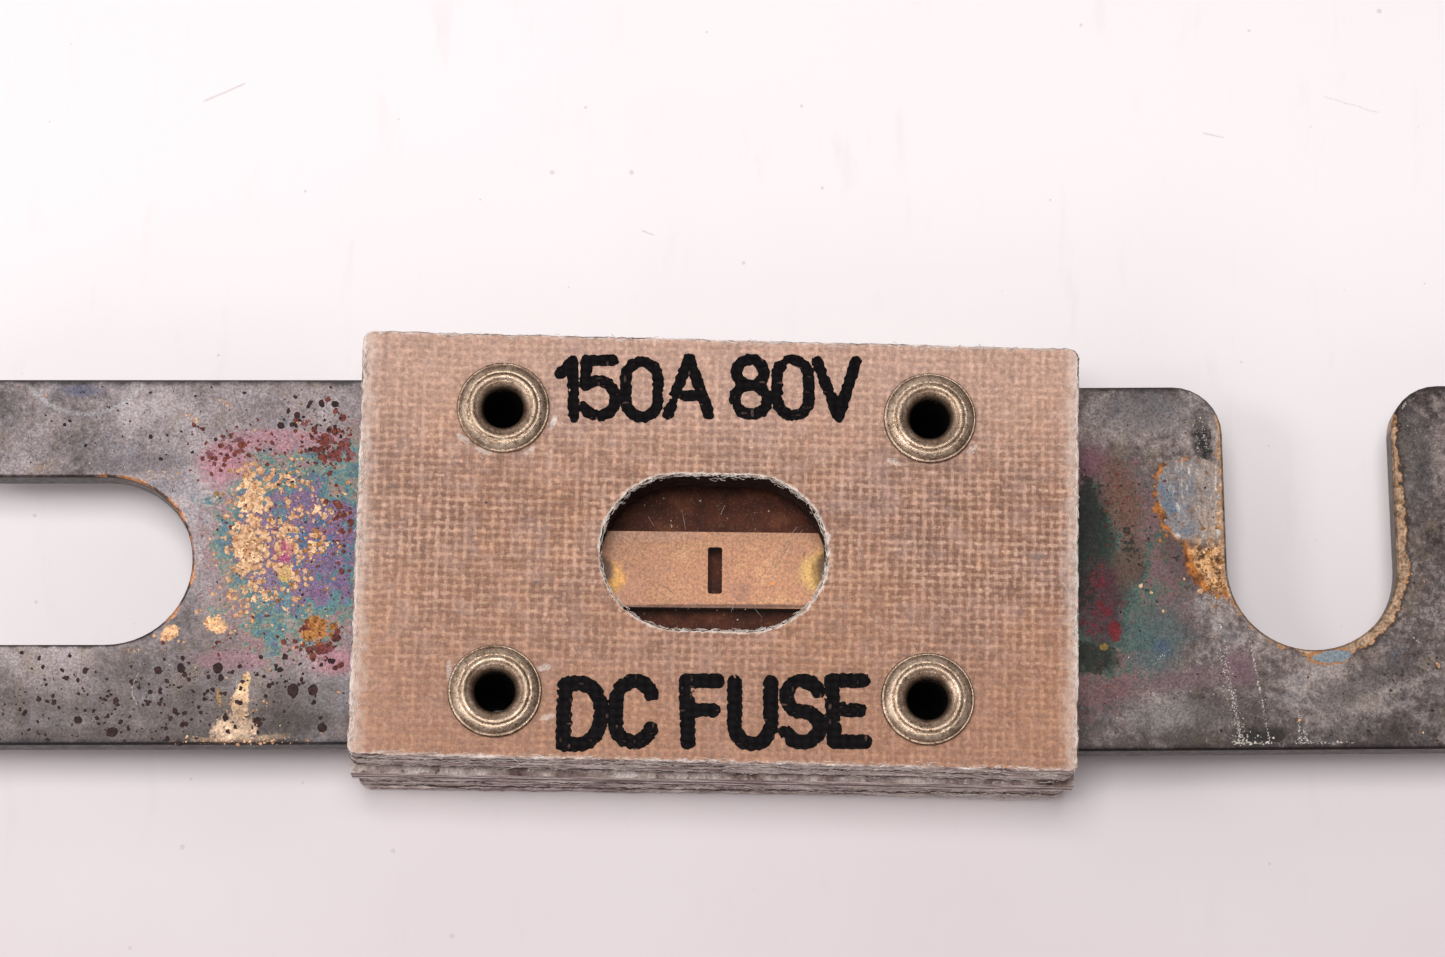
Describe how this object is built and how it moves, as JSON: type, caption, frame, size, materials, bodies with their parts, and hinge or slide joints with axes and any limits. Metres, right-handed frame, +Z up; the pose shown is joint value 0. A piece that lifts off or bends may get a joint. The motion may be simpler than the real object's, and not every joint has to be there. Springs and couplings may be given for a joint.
{
  "type": "bolt down strip fuse",
  "caption": "Flat strip fuse with two slotted terminal blades and an eyeletted laminate body that shows its copper link through a window.",
  "frame": {"origin": "on the surface that the fuse lies on, below the middle of its length, in line with the middle of the body's width", "axes": "+X along the blades, from the end with the end-open slot to the end with the side-open slot; +Y across the blades, towards the open side of the side slot; +Z up, out of the face with the window"},
  "size_m": [0.0808, 0.023, 0.0095],
  "materials": {
    "laminate": "matte",
    "clear_mica": "gloss",
    "dark_fibre": "matte",
    "silvered_copper": "satin",
    "link_copper": "satin",
    "eyelet_metal": "satin"
  },
  "bodies": {
    "root": {"top_cover": "laminate", "bottom_cover": "laminate", "spacer_back": "laminate", "spacer_front": "laminate", "window_sheet": "clear_mica", "backing_sheet": "dark_fibre", "blade_left": "silvered_copper", "blade_right": "silvered_copper", "fuse_link": "link_copper", "eyelet_front_left": "eyelet_metal", "eyelet_front_right": "eyelet_metal", "eyelet_back_left": "eyelet_metal", "eyelet_back_right": "eyelet_metal"}
  },
  "joints": []
}
